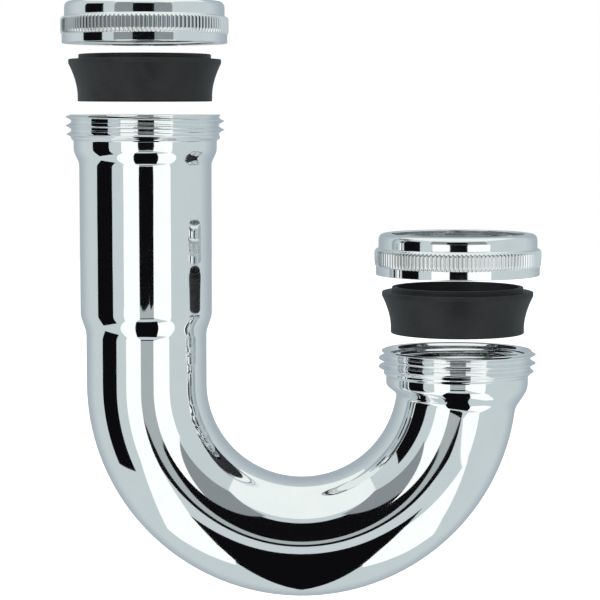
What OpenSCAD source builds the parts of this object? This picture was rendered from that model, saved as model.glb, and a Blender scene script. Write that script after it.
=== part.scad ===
// Waste trap for a basin: a chrome-plated tube bent to a U that stays full of water, with a
// threaded collar at each end. A knurled slip nut and a cone-shaped rubber seal belong on
// each collar, and are drawn lifted off it along its axis, in the order that they go on.
// Millimetres, +Z up, the U in the XZ plane, origin at the top of the inlet socket's bore.

/* [Tube] */
// Outside diameter of the bent tube
tube_d = 32; // [29:0.5:34]
// Thickness of the tube's wall, the same all along
wall = 1.1; // [0.8:0.1:1.3]
// Radius of the bend, to the middle of the tube
bend_r = 41.5; // [38:0.5:60]
// Straight plain tube between the inlet socket and the bend
leg_h = 12.9; // [5:0.1:80]

/* [Pipes] */
// Diameter of the pipes that push into both ends
pipe_d = 32; // [31:0.1:32.2]
// Room between a pipe and the inlet socket around it, on each side
socket_clearance = 0.4; // [0.3:0.05:0.45]
// Room between a pipe and the seal around it, on each side, before the nut is tightened
seal_clearance = 0.2; // [0.15:0.05:0.3]

/* [Inlet socket] */
// Length of the socket's parallel bore
socket_h = 38.8; // [20:0.1:80]
// Length of the taper from the socket to the plain tube
socket_taper_h = 6.4; // [3:0.1:12]

/* [Collars] */
// Diameter over the crests of the collar's thread
thread_d = 41.9; // [41.5:0.1:43]
// Height of the thread's ridges
thread_depth = 1.45; // [1:0.05:1.5]
// Distance from one ridge to the next
thread_pitch = 2.309; // [2.1:0.001:2.4]
// Number of ridges on a collar
thread_turns = 3; // [2:1:4]
// Depth of the first ridge's crest below the rim
first_crest = 1; // [0.8:0.05:1.5]
// Width of a ridge's flat crest
crest_w = 0.3; // [0.1:0.05:0.5]
// How far the rim stands out past the bottom of the thread
rim_rise = 0.45; // [0.2:0.05:0.8]
// Depth of the bevel inside the mouth, which the seal sits in
mouth_h = 1.2; // [0.5:0.1:2]
// Width of that bevel
mouth_w = 0.7; // [0.3:0.05:0.8]
// How far the plain band under the thread lies inside the bottom of the thread
band_step = 0.6; // [0.2:0.05:1]
// Height of the plain band
band_h = 2.5; // [1.5:0.1:5]
// Length of the taper from the band to the inlet socket
inlet_taper_h = 4.5; // [2:0.1:10]
// Length of the taper from the band into the bend at the outlet
outlet_taper_h = 5.4; // [3:0.1:7]

/* [Seals] */
// How far the seal's lip, its widest part, stands out past the collar's rim
lip_over = 0.2; // [0:0.05:0.3]
// Height of the lip's upright edge
lip_h = 1.1; // [0.8:0.1:2]
// Height of the cone from the seal's foot to the lip
cone_h = 10; // [8:0.1:14]
// Upright stretch at the cone's foot
foot_h = 1.5; // [0.5:0.1:3]
// Room between the cone's foot and the collar's bore around it
foot_room = 0.65; // [0.4:0.05:1]
// Power of the curve by which the cone flares
flare = 1.8; // [1.2:0.1:2.5]
// Width of the raised ring on the seal, which centres it in the nut
ring_w = 1.3; // [0.8:0.1:2]
// Height of the raised ring
ring_h = 1.3; // [0.6:0.1:1.6]

/* [Nuts] */
// Height of the plain skirt below the knurl
skirt_h = 2.3; // [1:0.1:4]
// Height of the knurled band
knurl_h = 4.6; // [3:0.1:8]
// Height of the smooth shoulder above the knurl
shoulder_h = 4.1; // [3.2:0.1:6]
// Thickness of the skirt's wall
skirt_wall = 0.7; // [0.6:0.05:1.2]
// Thickness of the shoulder's wall
shoulder_wall = 0.75; // [0.6:0.05:0.8]
// Radius of the rounded edge round the top
shoulder_edge = 1.8; // [0.5:0.1:1.9]
// Thickness of the flange that presses on the seal
flange_t = 1.2; // [0.8:0.1:2]
// Number of ridges round the knurl
knurl_count = 120; // [60:1:140]
// Height of the knurl's ridges
knurl_depth = 0.45; // [0.2:0.05:0.6]
// Share of each ridge's width that is flat on top
knurl_crest = 0.4; // [0.1:0.05:0.6]
// How far the knurl's grooves go below the face of the skirt
knurl_sink = 0.1; // [0:0.05:0.2]
// Bevel inside the foot of the nut, where it starts on the thread
lead_in = 0.3; // [0.1:0.05:0.5]

/* [Fits] */
// Room between the nut's bore and the crests of the thread
nut_gap = 0.15; // [0.1:0.05:0.3]
// Room between the seal and the nut around it
seal_gap = 0.2; // [0.1:0.05:0.4]
// Room left between the cone and the mouth, and between flange and lip, when the nut is down
seat_gap = 0.15; // [0.1:0.05:0.3]

/* [Lifted pieces] */
// How far the inlet seal is drawn above its seat
inlet_seal_lift = 9.7; // [0:0.1:30]
// How far the inlet nut is drawn above its tightened place
inlet_nut_lift = 23.5; // [0:0.1:60]
// How far the outlet seal is drawn above its seat
outlet_seal_lift = 10.8; // [0:0.1:30]
// How far the outlet nut is drawn above its tightened place
outlet_nut_lift = 24.9; // [0:0.1:60]

/* [Hidden] */
$fn = 96;
chrome = "#c6ccd0";
rubber = "#2c2c2e";
// What a cut runs past the face that it cuts
cut_past = 1;
// Steps along a smooth taper, and along the cone's flare
taper_steps = 8;
flare_steps = 10;
// Slope of a thread's flank against the plane across the axis
flank_angle = 27.5;
// How far the ends of the tube's stretches plunge into the next one, to join as one solid
weld = 0.05;

tube_r = tube_d / 2;
socket_r = pipe_d / 2 + socket_clearance + wall;
crest_r = thread_d / 2;
root_r = crest_r - thread_depth;
rim_r = root_r + rim_rise;
band_r = root_r - band_step;
collar_bore_r = root_r - wall;
flank_w = thread_depth * tan(flank_angle);
thread_h = first_crest + (thread_turns - 1) * thread_pitch + crest_w / 2 + flank_w;
// The wall steps in to the band at 45 degrees, and its inner corners lie this much higher
inner_rise = wall * tan(22.5);
// The inlet collar stands on the socket's top, and the bend hangs below the leg
inlet_rim_z = inlet_taper_h + band_h + thread_h;
bend_z = -socket_h - socket_taper_h - leg_h;
outlet_x = 2 * bend_r;
outlet_rim_z = bend_z + band_h + thread_h;
// The bend has curved away by this much where the outlet's taper ends in it
bend_side = bend_r + tube_r;
outlet_end_r = sqrt(pow(bend_side, 2) - pow(outlet_taper_h, 2)) - bend_r - weld;

// The cone touches the lower edge of the mouth's bevel, which sets how deep the seal goes
foot_r = collar_bore_r - foot_room;
lip_r = rim_r + lip_over;
seat_share = (collar_bore_r - seat_gap - foot_r) / (lip_r - foot_r);
seat_depth = mouth_h + foot_h + (cone_h - foot_h) * pow(seat_share, 1 / flare);
lip_top = cone_h + lip_h;
seal_bore_r = pipe_d / 2 + seal_clearance;
ring_r = seal_bore_r + ring_w;

nut_bore_r = crest_r + nut_gap;
skirt_r = nut_bore_r + skirt_wall;
knurl_root_r = skirt_r - knurl_sink;
pocket_r = lip_r + seal_gap;
shoulder_r = pocket_r + shoulder_wall;
nut_h = skirt_h + knurl_h + shoulder_h;
// The bore for the thread stops short of the shoulder by the thickness of the skirt
nut_bore_h = skirt_h + knurl_h - skirt_wall;
// Nut's foot, measured from the rim, when its flange is down on the seal's lip
nut_seat = lip_top + seat_gap - seat_depth - (nut_h - flange_t);

// Points of a smooth S from one radius and height to another, the two ends included
function s_curve(r0, z0, r1, z1) = [
    for (i = [0 : taper_steps])
        let (t = i / taper_steps, s = (1 - cos(180 * t)) / 2)
            [r0 + (r1 - r0) * s, z0 + (z1 - z0) * t]
];

// Four corners of one ridge of the thread, whose crest is at height z
function ridge(z) = [
    [root_r, z + crest_w / 2 + flank_w],
    [crest_r, z + crest_w / 2],
    [crest_r, z - crest_w / 2],
    [root_r, z - crest_w / 2 - flank_w]
];

// Outside of a collar from its rim at height 0 down to the end of its taper
function collar_outside(end_r, taper_h) = concat(
    [[rim_r, 0], [crest_r, -first_crest + crest_w / 2]],
    [for (i = [0 : thread_turns - 1]) let (p = ridge(-first_crest - i * thread_pitch))
        for (j = [i == 0 ? 2 : 0 : 3]) p[j]],
    [[band_r, -thread_h - band_step]],
    s_curve(band_r, -thread_h - band_h, end_r, -thread_h - band_h - taper_h)
);

// Inside of a collar, one wall in from its outside, with the bevel in its mouth
function collar_inside(end_r, taper_h) = concat(
    [[collar_bore_r + mouth_w, cut_past], [collar_bore_r + mouth_w, 0], [collar_bore_r, -mouth_h]],
    [[collar_bore_r, -thread_h + inner_rise], [band_r - wall, -thread_h - band_step + inner_rise]],
    s_curve(band_r - wall, -thread_h - band_h, end_r - wall, -thread_h - band_h - taper_h)
);

// Solid of revolution from a list of points that runs down its outside
module turned(points) {
    axis = [[0, points[len(points) - 1][1]], [0, points[0][1]]];
    rotate_extrude() polygon(concat(points, axis));
}

module at_inlet() {
    translate([0, 0, inlet_rim_z]) children();
}

module at_outlet() {
    translate([outlet_x, 0, outlet_rim_z]) children();
}

// Half ring of round bar: the outside or the inside of the bend
module half_ring(r) {
    translate([bend_r, 0, bend_z])
        rotate([-90, 0, 0])
            rotate_extrude(angle = 180)
                translate([bend_r, 0]) circle(r);
}

// Socket, taper and plain leg, from the socket's top down to the bend
module leg(inset) {
    turned(concat(
        [[socket_r - inset - weld, weld], [socket_r - inset, 0]],
        s_curve(socket_r - inset, -socket_h, tube_r - inset, -socket_h - socket_taper_h),
        [[tube_r - inset, bend_z], [tube_r - inset - weld, bend_z - weld]]
    ));
}

module bend_outside() {
    half_ring(tube_r);
    leg(0);
    at_inlet() turned(collar_outside(socket_r, inlet_taper_h));
    at_outlet() turned(collar_outside(outlet_end_r, outlet_taper_h));
}

module bend_inside() {
    half_ring(tube_r - wall);
    leg(wall);
    at_inlet() turned(collar_inside(socket_r, inlet_taper_h));
    at_outlet() turned(collar_inside(outlet_end_r, outlet_taper_h));
}

// The bent tube, one piece from rim to rim
module trap_bend() {
    color(chrome) difference() {
        bend_outside();
        bend_inside();
    }
}

// Cone seal standing on its foot
module seal() {
    cone = [
        for (i = [0 : flare_steps])
            let (t = i / flare_steps)
                [foot_r + (lip_r - foot_r) * pow(t, flare), foot_h + (cone_h - foot_h) * t]
    ];
    color(rubber) rotate_extrude() polygon(concat(
        [[seal_bore_r, 0], [foot_r, 0]],
        cone,
        [[lip_r, lip_top], [ring_r, lip_top]],
        [[ring_r, lip_top + ring_h], [seal_bore_r, lip_top + ring_h]]
    ));
}

// Outline of the knurled band: a flat-topped ridge and a groove for each count
module knurl_outline() {
    step = 360 / knurl_count;
    crest = knurl_root_r + knurl_depth;
    // Place of each corner in steps from the ridge's middle, and its radius
    corners = [[-knurl_crest / 2, crest], [knurl_crest / 2, crest], [0.5, knurl_root_r]];
    polygon([
        for (i = [0 : knurl_count - 1], corner = corners)
            let (angle = (i + corner[0]) * step) corner[1] * [cos(angle), sin(angle)]
    ]);
}

// Half section of the smooth shoulder, with its rounded edge
module shoulder_section() {
    flat_r = shoulder_r - shoulder_edge;
    square([flat_r, shoulder_h]);
    square([shoulder_r, shoulder_h - shoulder_edge]);
    intersection() {
        translate([flat_r, shoulder_h - shoulder_edge]) circle(shoulder_edge);
        square([shoulder_r, shoulder_h]);
    }
}

// Slip nut standing on its open foot
module nut() {
    color(chrome) difference() {
        union() {
            cylinder(h = skirt_h, r = skirt_r);
            translate([0, 0, skirt_h]) linear_extrude(knurl_h) knurl_outline();
            translate([0, 0, skirt_h + knurl_h]) rotate_extrude() shoulder_section();
        }
        translate([0, 0, -cut_past]) cylinder(h = nut_bore_h + cut_past, r = nut_bore_r);
        cylinder(h = nut_h - flange_t, r = pocket_r);
        cylinder(h = nut_h + cut_past, r = ring_r + seal_gap);
        translate([0, 0, -lead_in])
            cylinder(h = 2 * lead_in, r1 = nut_bore_r + 2 * lead_in, r2 = nut_bore_r);
    }
}

module inlet_seal() {
    at_inlet() translate([0, 0, inlet_seal_lift - seat_depth]) seal();
}

module inlet_nut() {
    at_inlet() translate([0, 0, inlet_nut_lift + nut_seat]) nut();
}

module outlet_seal() {
    at_outlet() translate([0, 0, outlet_seal_lift - seat_depth]) seal();
}

module outlet_nut() {
    at_outlet() translate([0, 0, outlet_nut_lift + nut_seat]) nut();
}

trap_bend();
inlet_seal();
inlet_nut();
outlet_seal();
outlet_nut();
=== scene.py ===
import math

import bpy
import numpy as np
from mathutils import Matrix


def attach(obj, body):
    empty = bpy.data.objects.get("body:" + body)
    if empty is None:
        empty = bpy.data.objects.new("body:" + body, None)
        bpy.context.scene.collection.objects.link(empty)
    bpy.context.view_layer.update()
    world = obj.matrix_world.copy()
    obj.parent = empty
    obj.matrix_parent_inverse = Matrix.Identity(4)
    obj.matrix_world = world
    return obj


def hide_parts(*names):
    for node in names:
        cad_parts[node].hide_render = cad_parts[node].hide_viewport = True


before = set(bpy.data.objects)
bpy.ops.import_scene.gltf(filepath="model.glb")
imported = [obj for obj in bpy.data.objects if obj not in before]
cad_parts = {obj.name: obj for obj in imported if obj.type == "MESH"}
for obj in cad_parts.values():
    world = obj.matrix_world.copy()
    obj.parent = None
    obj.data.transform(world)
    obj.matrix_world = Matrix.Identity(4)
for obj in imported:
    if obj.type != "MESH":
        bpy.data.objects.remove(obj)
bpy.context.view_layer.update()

# The bent tube. One thin-walled brass tube is bent to a U and chrome plated. Both of its ends are
# widened to a collar with a rolled thread, and the long inlet leg, below its collar, to a socket
# for the pipe from the basin. Sizes are in millimetres, measured from the top of that socket.

MM = 0.001
tube_radius = 16.0
tube_wall = 1.1
bend_radius = 41.5
bend_top = -58.1
socket_radius = 17.5
socket_length = 38.8
socket_taper = 6.4
outlet_x = 2 * bend_radius

crest_radius = 20.95
root_radius = 19.5
rim_radius = 19.95
rim_rounding = 0.3
mouth_radius = 19.1
mouth_depth = 1.2
collar_bore = 18.4
inner_groove = 0.5
thread_pitch = 2.309
thread_fade = (4.7, 6.9)
band_radius = 18.9
band_start = 7.12
band_end = 9.02
inlet_taper = 4.5
outlet_taper = 5.4
inlet_rim = band_end + inlet_taper
outlet_rim = bend_top + band_end
# Depth of the thread's crest below the rim, on the +X side
inlet_crest = 1.72
outlet_crest = 1.07

tube_columns = 160
ring_angle = np.arange(tube_columns) * 2 * np.pi / tube_columns


def ease(value, start, end):
    """0 up to start and 1 from end on, with an even S between: (1 - cos(180 degrees of the way)) / 2."""
    share = np.clip((value - start) / (end - start), 0, 1)
    return (1 - np.cos(np.pi * share)) / 2


def thread_ridge(depth, azimuth, crest_depth):
    """Height of the thread's ridge, from 0 in the middle of the groove to 1 on the crest.

    The crest lies crest_depth below the rim at +X, and one pitch deeper for each turn from +X to
    +Y. Away from it the height is the square of the way that is left to the groove's middle, and
    the crest itself is rounded off.
    """
    turns = (depth - crest_depth) / thread_pitch - azimuth / (2 * np.pi)
    away = 2 * np.abs(turns - np.round(turns))
    rounding = 0.12
    away = (np.hypot(away, rounding) - rounding) / (math.hypot(1, rounding) - rounding)
    return (1 - away) ** 2


def collar_outside(depth, azimuth, crest_depth):
    """Radius of a collar's outside at a depth below its rim.

    The rim's swell and the thread's ridge, whichever is higher, stand on the root of the thread,
    joined softly. The ridge grows in below the rim and fades out above the plain band, where the
    wall steps in. The rim's edge is a quarter circle.
    """
    swell = (rim_radius - root_radius) * (1 - ease(depth, 0, 0.9))
    fade = ease(depth, -0.3, 0.45) * (1 - ease(depth, *thread_fade))
    ridge = fade * (crest_radius - root_radius) * thread_ridge(depth, azimuth, crest_depth)
    higher = (swell + ridge + np.hypot(swell - ridge, 0.06)) / 2
    step = (root_radius - band_radius) * ease(depth, 6.2, band_start)
    left = np.clip(rim_rounding - depth, 0, rim_rounding)
    edge = rim_rounding - np.sqrt(rim_rounding**2 - left**2)
    return root_radius + higher - step - edge


def collar_inside(depth, azimuth, crest_depth):
    """Radius of a collar's inside: a bevel in the mouth, then the bore, in which the thread's
    ridge shows as a shallow groove, then the inside of the plain band."""
    bevel = (mouth_radius - collar_bore) * np.clip(1 - depth / mouth_depth, 0, 1)
    fade = ease(depth, 1.1, 1.8) * (1 - ease(depth, 4.9, 6.2))
    groove = fade * inner_groove * thread_ridge(depth, azimuth, crest_depth)
    step = (root_radius - band_radius) * ease(depth, 5.9, 6.8)
    left = np.clip(0.25 - depth, 0, 0.25)
    edge = 0.25 - np.sqrt(0.25**2 - left**2)
    return collar_bore + bevel + groove - step + edge


def rings(x, z, turn, radius):
    """Rings of points across the tube's middle line, one row for each place on it.

    The line passes (x, 0, z), where it has turned by the angle turn from straight down towards
    +X. A point lies radius from the line, at its ring angle from the inner side of the bend
    towards +Y.
    """
    x, z, turn = (np.asarray(part, float).reshape(-1, 1) for part in (x, z, turn))
    inward = radius * np.cos(ring_angle)
    return np.stack(np.broadcast_arrays(
        x + inward * np.cos(turn), radius * np.sin(ring_angle), z + inward * np.sin(turn)), -1)


def collar_rings(shape, depth, rim_z, x, turn, crest_depth):
    """Rings of a collar's outside or inside, which lies straight above or below its rim."""
    azimuth = ring_angle if turn == 0 else np.pi - ring_angle
    radius = shape(depth.reshape(-1, 1), azimuth, crest_depth)
    return rings(np.full(len(depth), x), rim_z - depth, np.full(len(depth), turn), radius)


def middle_rings(inset):
    """Rings from the end of the inlet's band to the end of the outlet's, inset from the outside."""
    down = np.concatenate([
        inlet_rim - np.linspace(band_end, band_end + inlet_taper, 15),
        -np.linspace(0, socket_length, 12)[1:],
        -socket_length - np.linspace(0, socket_taper, 17)[1:],
        np.linspace(-socket_length - socket_taper, bend_top, 5)[1:-1]])
    narrowing = (band_radius - socket_radius) * ease(-down, -inlet_taper, 0)
    narrowing = narrowing + (socket_radius - tube_radius) * ease(
        -down, socket_length, socket_length + socket_taper)
    leg = rings(np.zeros(len(down)), down, np.zeros(len(down)),
                (band_radius - narrowing - inset).reshape(-1, 1))
    widening_turn = np.pi - outlet_taper / bend_radius
    turn = np.concatenate([np.linspace(0, widening_turn, 72), np.linspace(widening_turn, np.pi, 15)[1:]])
    radius = tube_radius + (band_radius - tube_radius) * ease(turn, widening_turn, np.pi) - inset
    bend = rings(bend_radius - bend_radius * np.cos(turn), bend_top - bend_radius * np.sin(turn),
                 turn, radius.reshape(-1, 1))
    return np.concatenate([leg, bend])


def closed_skin(name, grid):
    """Object whose mesh is a grid of points, in millimetres, that closes on itself both ways.

    Each point joins the next row and the next column, and the last ones join the first, as on a
    ring, so there is no open edge and no pole.
    """
    count = grid.shape[0] * grid.shape[1]
    point = np.arange(count).reshape(grid.shape[:2])
    below = np.roll(point, -1, 0)
    faces = np.stack([point, below, np.roll(below, -1, 1), np.roll(point, -1, 1)], -1)
    mesh = bpy.data.meshes.new(name)
    mesh.vertices.add(count)
    mesh.vertices.foreach_set("co", (grid * MM).ravel())
    mesh.loops.add(faces.size)
    mesh.loops.foreach_set("vertex_index", faces.ravel())
    mesh.polygons.add(count)
    mesh.polygons.foreach_set("loop_start", np.arange(0, faces.size, 4))
    mesh.polygons.foreach_set("use_smooth", np.ones(count, bool))
    mesh.update(calc_edges=True)
    made = bpy.data.objects.new(name, mesh)
    bpy.context.collection.objects.link(made)
    return made


rim_steps = rim_rounding * (1 - np.cos(np.linspace(0, np.pi / 2, 6)))
outer_depth = np.concatenate([rim_steps, np.arange(rim_rounding + 0.07, band_start, 0.07),
                              np.linspace(band_start, band_end, 6)[:-1]])
inner_depth = np.concatenate([0.25 * (1 - np.cos(np.linspace(0, np.pi / 2, 4))),
                              np.linspace(0.5, 1.15, 3), np.arange(1.25, 6.9, 0.14),
                              np.linspace(6.95, band_end, 5)[:-1]])
trap_grid = np.concatenate([
    collar_rings(collar_outside, outer_depth, inlet_rim, 0, 0, inlet_crest),
    middle_rings(0),
    collar_rings(collar_outside, outer_depth[::-1], outlet_rim, outlet_x, np.pi, outlet_crest),
    collar_rings(collar_inside, inner_depth, outlet_rim, outlet_x, np.pi, outlet_crest),
    middle_rings(tube_wall)[::-1],
    collar_rings(collar_inside, inner_depth[::-1], inlet_rim, 0, 0, inlet_crest)])
trap = closed_skin("trap_tube", trap_grid)


def add_node(tree, kind, inputs=(), **options):
    """New shader node. Inputs are numbers, colours, or the outputs of other nodes to link."""
    node = tree.nodes.new(kind)
    for name, value in options.items():
        setattr(node, name, value)
    for name, value in dict(inputs).items():
        if isinstance(value, bpy.types.NodeSocket):
            tree.links.new(value, node.inputs[name])
        else:
            node.inputs[name].default_value = value
    return node


def new_material(name):
    """Material with an empty node tree and its output node."""
    material = bpy.data.materials.new(name)
    material.use_nodes = True
    material.node_tree.nodes.clear()
    return material, material.node_tree, material.node_tree.nodes.new("ShaderNodeOutputMaterial")


def make_surface_marks():
    """Node group for what handling and polishing leave on every piece.

    Ripple is a slow unevenness of the surface. Haze is a cloud of fine marks, from 0 to 1, that
    dulls and tints it.
    """
    group = bpy.data.node_groups.new("surface_marks", "ShaderNodeTree")
    for name in ("Ripple Scale", "Haze Scale"):
        group.interface.new_socket(name, in_out="INPUT", socket_type="NodeSocketFloat")
    for name in ("Ripple", "Haze"):
        group.interface.new_socket(name, in_out="OUTPUT", socket_type="NodeSocketFloat")
    given = group.nodes.new("NodeGroupInput").outputs
    result = group.nodes.new("NodeGroupOutput")
    place = add_node(group, "ShaderNodeTexCoord").outputs["Object"]
    ripple = add_node(group, "ShaderNodeTexNoise", {
        "Vector": place, "Scale": given["Ripple Scale"], "Detail": 1.5, "Roughness": 0.4})
    cloud = add_node(group, "ShaderNodeTexNoise", {
        "Vector": place, "Scale": given["Haze Scale"], "Detail": 5, "Roughness": 0.65})
    haze = add_node(group, "ShaderNodeMapRange", {
        "Value": cloud.outputs["Fac"], "From Min": 0.35, "From Max": 0.75})
    group.links.new(ripple.outputs["Fac"], result.inputs["Ripple"])
    group.links.new(haze.outputs["Result"], result.inputs["Haze"])
    return group


surface_marks = make_surface_marks()


def chrome(name, ripple_scale, ripple_height, haze_scale, clear, dull):
    """Polished chrome plate: a mirror whose ripple bends what it shows, with faint dull clouds."""
    material, tree, output = new_material(name)
    marks = add_node(tree, "ShaderNodeGroup", node_tree=surface_marks)
    marks.inputs["Ripple Scale"].default_value = ripple_scale
    marks.inputs["Haze Scale"].default_value = haze_scale
    tint = add_node(tree, "ShaderNodeMix", {"Factor": marks.outputs["Haze"]}, data_type="RGBA")
    tint.inputs["A"].default_value = (0.90, 0.915, 0.92, 1)
    tint.inputs["B"].default_value = (0.86, 0.885, 0.895, 1)
    rough = add_node(tree, "ShaderNodeMapRange", {
        "Value": marks.outputs["Haze"], "To Min": clear, "To Max": dull})
    bump = add_node(tree, "ShaderNodeBump", {
        "Height": marks.outputs["Ripple"], "Distance": ripple_height, "Strength": 1.0})
    plate = add_node(tree, "ShaderNodeBsdfPrincipled", {
        "Base Color": tint.outputs["Result"], "Metallic": 1.0,
        "Roughness": rough.outputs["Result"], "Normal": bump.outputs["Normal"]})
    tree.links.new(plate.outputs["BSDF"], output.inputs["Surface"])
    return material


trap.data.materials.append(chrome("tube_chrome", 45, 0.00007, 160, 0.03, 0.06))
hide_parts("trap_bend")
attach(trap, "trap")

# The slip nuts. Each is a thin brass nut, turned and chrome plated: a plain skirt, a band of
# straight knurl for the fingers, a smooth shoulder, and a flange inside the top that presses
# the seal down. Its bore is threaded. Both are drawn lifted off their collars, open foot down.

nut_skirt = 21.8
nut_shoulder = 21.1
nut_bore = 21.1
nut_minor = 20.15
nut_pocket = 20.35
nut_hole = 17.7
nut_height = 11.0
nut_bore_top = 6.2
flange_bottom = 9.8
knurl_bottom = 2.3
knurl_top = 6.9
knurl_root = 21.7
knurl_height = 0.45
knurl_count = 120
inlet_nut_foot = 32.217
inlet_nut_lift = 23.5
outlet_nut_foot = -28.983
outlet_nut_lift = 24.9


def rounded(corners, steps=5):
    """Closed profile with rounded corners, as an array of radius and height.

    Each corner is (radius, height, rounding). Its two sides stop at that distance from it and a
    parabola joins them. One more point beside each stop keeps the rounding out of the sides.
    """
    corners = np.asarray(corners, float)
    point, size = corners[:, :2], corners[:, 2:]
    before, after = np.roll(point, 1, 0) - point, np.roll(point, -1, 0) - point
    before /= np.linalg.norm(before, axis=1, keepdims=True)
    after /= np.linalg.norm(after, axis=1, keepdims=True)
    share = np.linspace(0, 1, steps).reshape(-1, 1, 1)
    curve = point + size * (before * (1 - share) ** 2 + after * share**2)
    guard = 1.25 * size
    ring = np.concatenate([[point + before * guard], curve, [point + after * guard]])
    return ring.transpose(1, 0, 2).reshape(-1, 2)


def nut_profile():
    """Nut's half section, from the flange's edge over the top and down the outside to the foot,
    then up the bore, as an array of radius and height."""
    return rounded([
        (nut_hole, nut_height, 0.25), (nut_shoulder, nut_height, 1.8),
        (nut_shoulder, knurl_top + 0.3, 0.2), (knurl_root, knurl_top - 0.1, 0.1),
        (knurl_root, knurl_bottom + 0.15, 0.05), (nut_skirt, knurl_bottom, 0.05),
        (nut_skirt, 0, 0.2), (nut_bore + 0.3, 0, 0.1), (nut_bore, 0.35, 0.1),
        (nut_bore, nut_bore_top, 0.15), (nut_pocket, nut_bore_top + 0.4, 0.15),
        (nut_pocket, flange_bottom, 0.4), (nut_hole, flange_bottom, 0.2)])


def between(profile, first, last, heights):
    """Profile with extra rows at the given heights on the straight side from point first to last."""
    share = (heights - profile[first, 1]) / (profile[last, 1] - profile[first, 1])
    extra = profile[first] + share.reshape(-1, 1) * (profile[last] - profile[first])
    return np.concatenate([profile[:first + 1], extra, profile[last:]])


def nut(name, axis_x, foot_z, lift, rim_z, crest_depth):
    """One slip nut, as a ring-shaped grid: profile rows by six columns for each knurl ridge.

    The knurl adds to the radius: most in the middle of a ridge, nothing in the groove, and
    rounded off to nothing at both ends of the band. The bore's thread takes from the radius. It
    is the hollow shape of the collar's thread, where that lies once the nut is screwed down.
    """
    profile = nut_profile()
    corner = 7
    profile = between(profile, 9 * corner - 1, 9 * corner, np.arange(0.55, 6.0, 0.16))
    profile = between(profile, 4 * corner - 1, 4 * corner, np.linspace(6.6, 2.7, 10))
    radius, height = profile[:, :1], profile[:, 1:]
    outside = radius > nut_bore + 0.05
    across = np.array([0, 0.2, 0.36, 0.5, 0.64, 0.8])
    bulge = np.array([1, 0.94, 0.38, 0, 0.38, 0.94])
    azimuth = ((np.arange(knurl_count).reshape(-1, 1) + across) * 2 * np.pi / knurl_count).ravel()
    ends = ease(height, knurl_bottom - 0.05, knurl_bottom + 0.7)
    ends = ends * (1 - ease(height, knurl_top - 0.75, knurl_top + 0.05))
    knurl = knurl_height * np.sqrt(ends) * np.tile(bulge, knurl_count) * outside
    depth = rim_z - (foot_z - lift + height)
    hollow = 1 - thread_ridge(depth, azimuth, crest_depth)
    threaded = ease(height, 0.3, 1.0) * (1 - ease(height, 5.3, 6.0)) * ~outside
    spread = radius + knurl - (nut_bore - nut_minor) * threaded * hollow
    grid = np.stack(np.broadcast_arrays(
        axis_x + spread * np.cos(azimuth), spread * np.sin(azimuth), foot_z + height), -1)
    return closed_skin(name, grid)


nut_chrome = chrome("nut_chrome", 70, 0.00003, 300, 0.04, 0.08)
inlet_nut = nut("inlet_slip_nut", 0, inlet_nut_foot, inlet_nut_lift, inlet_rim, inlet_crest)
outlet_nut = nut("outlet_slip_nut", outlet_x, outlet_nut_foot, outlet_nut_lift, outlet_rim,
                 outlet_crest)
for piece, body in ((inlet_nut, "inlet_nut"), (outlet_nut, "outlet_nut")):
    piece.data.materials.append(nut_chrome)
    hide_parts(body)
    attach(piece, body)

# The cone seals. Each is moulded in black rubber: a hollow cone that the nut presses into the
# collar's mouth, with a thick lip under the nut's flange and a raised ring that centres it there.

seal_bore = 16.2
seal_foot = 17.75
seal_lip = 20.15
foot_height = 1.5
cone_top = 10.0
lip_top = 11.1
ring_radius = 17.5
ring_top = 12.4
cone_flare = 1.8
inlet_seal_foot = 16.967
outlet_seal_foot = -44.533


def seal(name, axis_x, foot_z):
    """One cone seal, as a ring-shaped grid.

    The cone's radius grows from foot to lip with the given power of the height, and the other
    sides are straight with rounded corners.
    """
    way = np.linspace(0, 1, 24)
    cone = np.stack([seal_foot + (seal_lip - seal_foot) * way**cone_flare,
                     foot_height + (cone_top - foot_height) * way], -1)
    top = rounded([(seal_bore, ring_top, 0.3), (ring_radius, ring_top, 0.3),
                   (ring_radius - 0.02, lip_top, 0.2), (seal_lip, lip_top, 0.3),
                   (seal_lip, cone_top, 0.2), (seal_foot + 0.8, 6.5, 0.2)])
    bottom = rounded([(seal_foot, 6.0, 0.1), (seal_foot, 0, 0.3), (seal_bore, 0, 0.3),
                      (seal_bore, 6.0, 0.1)])
    profile = np.concatenate([top[:5 * 7], cone[::-1][1:], bottom[7:3 * 7]])
    angle = np.arange(240) * 2 * np.pi / 240
    radius, height = profile[:, :1], profile[:, 1:]
    grid = np.stack(np.broadcast_arrays(
        axis_x + radius * np.cos(angle), radius * np.sin(angle), foot_z + height), -1)
    return closed_skin(name, grid)


def black_rubber():
    """Moulded rubber: charcoal, satin, with a fine grain and paler bloom in faint clouds."""
    material, tree, output = new_material("seal_rubber")
    marks = add_node(tree, "ShaderNodeGroup", node_tree=surface_marks)
    marks.inputs["Ripple Scale"].default_value = 2600
    marks.inputs["Haze Scale"].default_value = 110
    tint = add_node(tree, "ShaderNodeMix", {"Factor": marks.outputs["Haze"]}, data_type="RGBA")
    tint.inputs["A"].default_value = (0.009, 0.010, 0.011, 1)
    tint.inputs["B"].default_value = (0.021, 0.022, 0.023, 1)
    rough = add_node(tree, "ShaderNodeMapRange", {
        "Value": marks.outputs["Haze"], "To Min": 0.42, "To Max": 0.6})
    bump = add_node(tree, "ShaderNodeBump", {
        "Height": marks.outputs["Ripple"], "Distance": 0.00003, "Strength": 1.0})
    skin = add_node(tree, "ShaderNodeBsdfPrincipled", {
        "Base Color": tint.outputs["Result"], "Roughness": rough.outputs["Result"],
        "Specular IOR Level": 0.4, "Normal": bump.outputs["Normal"]})
    tree.links.new(skin.outputs["BSDF"], output.inputs["Surface"])
    return material


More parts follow.
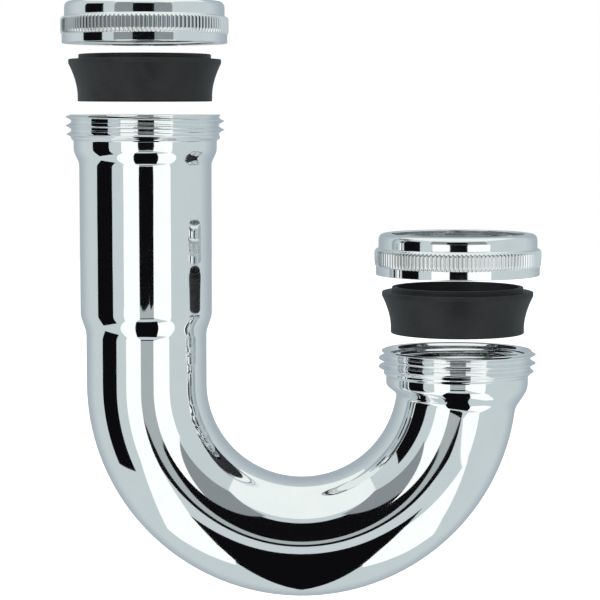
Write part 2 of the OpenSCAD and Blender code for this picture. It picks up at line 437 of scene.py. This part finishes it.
rubber = black_rubber()
inlet_seal = seal("inlet_cone_seal", 0, inlet_seal_foot)
outlet_seal = seal("outlet_cone_seal", outlet_x, outlet_seal_foot)
for piece, body in ((inlet_seal, "inlet_seal"), (outlet_seal, "outlet_seal")):
    piece.data.materials.append(rubber)
    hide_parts(body)
    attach(piece, body)

# The floor: a plain pale table well below the part. The camera sees it as white paper that keeps
# the part's soft shadow, and the chrome is turned away from it to the panels below.

floor_z = -0.30
floor_half = 4.0


def flat_panel(name, corners):
    """Object with one flat face, from its corners in order, in metres."""
    mesh = bpy.data.meshes.new(name)
    mesh.from_pydata(corners, [], [range(len(corners))])
    made = bpy.data.objects.new(name, mesh)
    bpy.context.collection.objects.link(made)
    return made


floor = flat_panel("floor", [(x * floor_half, y * floor_half, floor_z)
                             for x, y in ((-1, -1), (1, -1), (1, 1), (-1, 1))])
floor.visible_glossy = False
floor_paper, tree, output = new_material("floor_paper")
matt = add_node(tree, "ShaderNodeBsdfDiffuse", {"Color": (0.8, 0.8, 0.8, 1)})
paper = add_node(tree, "ShaderNodeEmission", {"Color": (1, 1, 1, 1), "Strength": 0.85})
both = add_node(tree, "ShaderNodeAddShader", {0: matt.outputs[0], 1: paper.outputs[0]})
sees = add_node(tree, "ShaderNodeLightPath")
choice = add_node(tree, "ShaderNodeMixShader", {
    0: sees.outputs["Is Camera Ray"], 1: matt.outputs[0], 2: both.outputs[0]})
tree.links.new(choice.outputs[0], output.inputs["Surface"])
floor.data.materials.append(floor_paper)

# The studio: a pale tent with a bright ceiling, soft boxes in front and below, and black cards
# and floor between them. Chrome is drawn by what it mirrors, so each panel is placed by the
# direction in which the tube shows it: degrees to the right of the camera, and degrees up.

studio_middle = np.array([0.0415, 0.0, -0.07])


def towards(azimuth, elevation, reach):
    """Point in metres, reach away from the studio's middle. Azimuth 0 is towards the camera, 90
    to the right, and elevation is above the horizon, in degrees."""
    side, up = math.radians(azimuth), math.radians(elevation)
    way = (math.sin(side) * math.cos(up), -math.cos(side) * math.cos(up), math.sin(up))
    return studio_middle + reach * np.array(way)


def glow(name, colour):
    """Plain light of one colour, where 1 is white."""
    material, tree, output = new_material(name)
    light = add_node(tree, "ShaderNodeEmission", {"Color": (*colour, 1), "Strength": 1.0})
    tree.links.new(light.outputs[0], output.inputs["Surface"])
    return material


lights = {
    "white": glow("soft_box", (1.10, 1.12, 1.10)),
    "ceiling": glow("ceiling_cloth", (0.93, 0.98, 0.96)),
    "pale": glow("pale_card", (0.62, 0.68, 0.70)),
    "grey": glow("grey_card", (0.26, 0.29, 0.30)),
    "middle": glow("middle_card", (0.42, 0.46, 0.46)),
    "black": glow("black_card", (0.004, 0.004, 0.005)),
}
panels = [
    ("left_flag", "black", 0.70, [(-88, -28), (-56, -28), (-58, 28), (-88, 28)]),
    ("camera_hood", "black", 0.66, [(-16, 9), (14, 9), (14, 32), (-16, 32)]),
    ("right_screen", "grey", 0.72, [(14, 9), (41, 9), (41, 38), (14, 36)]),
    ("left_screen", "grey", 0.72, [(-41, 9), (-16, 9), (-16, 36), (-41, 38)]),
    ("lens_shade", "black", 0.60, [(-12, 9), (14, 9), (13, -1.6), (4, -4), (-3, -4), (-11, -1.6)]),
    ("lens_screen", "middle", 0.61, [(-11, -8), (13, -8), (13, 3), (-11, 3)]),
    ("lens_shade_foot", "black", 0.60, [(-11, -12), (13, -12), (13, -8), (-11, -8)]),
    ("left_soft_box", "white", 0.68, [(-38, -27), (-8, -7), (-8, 9), (-37, 9)]),
    ("right_soft_box", "white", 0.68, [(13, -7), (45, -25), (45, 9), (13, 9)]),
    ("lower_strip", "pale", 0.62, [(-16, -24), (16, -24), (13, -12), (-11, -12)]),
    ("left_low_box", "white", 0.70, [(-8, -7), (-38, -3), (-37, -20), (-45, -29), (-62, -42),
                                     (-82, -50), (-80, -54), (-45, -65), (-33, -58),
                                     (-25, -43), (-18, -25)]),
    ("right_low_box", "white", 0.70, [(20, -32), (46, -22), (70, -45), (92, -52), (83, -60),
                                      (45, -67), (30, -58)]),
    ("low_front_cloth", "black", 0.74, [(-22, -24), (20, -24), (34, -58), (80, -80), (180, -66),
                                        (-80, -80), (-35, -58)]),
]
for name, light, reach, corners in panels:
    panel = flat_panel(name, [towards(azimuth, elevation, reach) for azimuth, elevation in corners])
    panel.data.materials.append(lights[light])
    panel.visible_camera = False
    panel.visible_diffuse = False
    panel.visible_shadow = False

ceiling_height = 0.60
ceiling = flat_panel("ceiling", [
    (studio_middle[0] + x * ceiling_height, y * ceiling_height, studio_middle[2] + ceiling_height)
    for x, y in ((-0.87, -1.11), (0.87, -1.11), (0.87, 0.6), (-0.87, 0.6))])
ceiling.data.materials.append(lights["ceiling"])
ceiling.visible_camera = False
ceiling.visible_diffuse = False
ceiling.visible_shadow = False

world = bpy.data.worlds.new("tent")
world.use_nodes = True
bpy.context.scene.world = world
tree = world.node_tree
tree.nodes.clear()
output = tree.nodes.new("ShaderNodeOutputWorld")
way = add_node(tree, "ShaderNodeTexCoord")
axes = add_node(tree, "ShaderNodeSeparateXYZ", {"Vector": way.outputs["Generated"]})
behind = add_node(tree, "ShaderNodeMapRange", {
    "Value": axes.outputs["Y"], "From Min": 0.3, "From Max": 0.95}, interpolation_type="SMOOTHSTEP")
cloth = add_node(tree, "ShaderNodeMix", {"Factor": behind.outputs["Result"]}, data_type="RGBA")
cloth.inputs["A"].default_value = (0.60, 0.665, 0.68, 1)
cloth.inputs["B"].default_value = (0.40, 0.46, 0.50, 1)
tent = add_node(tree, "ShaderNodeBackground", {"Color": cloth.outputs["Result"], "Strength": 1.0})
paper = add_node(tree, "ShaderNodeBackground", {"Color": (1, 1, 1, 1), "Strength": 1.0})
room = add_node(tree, "ShaderNodeBackground", {"Color": (1, 1, 1, 1), "Strength": 0.55})
sees = add_node(tree, "ShaderNodeLightPath")
mirrored = add_node(tree, "ShaderNodeMixShader", {
    0: sees.outputs["Is Glossy Ray"], 1: room.outputs[0], 2: tent.outputs[0]})
seen = add_node(tree, "ShaderNodeMixShader", {
    0: sees.outputs["Is Camera Ray"], 1: mirrored.outputs[0], 2: paper.outputs[0]})
tree.links.new(seen.outputs[0], output.inputs["Surface"])

key = bpy.data.lights.new("key", "AREA")
key.size = 0.6
key.energy = 9
key_lamp = bpy.data.objects.new("key", key)
key_lamp.location = (-0.55, -0.65, 0.55)
key_lamp.rotation_euler = (math.radians(50), 0, math.radians(-42))
key_lamp.visible_glossy = False
key_lamp.visible_camera = False
bpy.context.collection.objects.link(key_lamp)

# The camera: a long lens, level with the rim of the inlet collar and tilted slightly down.

lens = bpy.data.cameras.new("camera")
lens.lens = 126.4
lens.sensor_width = 36
camera = bpy.data.objects.new("camera", lens)
camera.location = (0.0410, -0.560, 0.0135)
camera.rotation_euler = (math.radians(90 - 5.03), 0, 0)
bpy.context.collection.objects.link(camera)
bpy.context.scene.camera = camera
bpy.context.scene.view_settings.view_transform = "Standard"
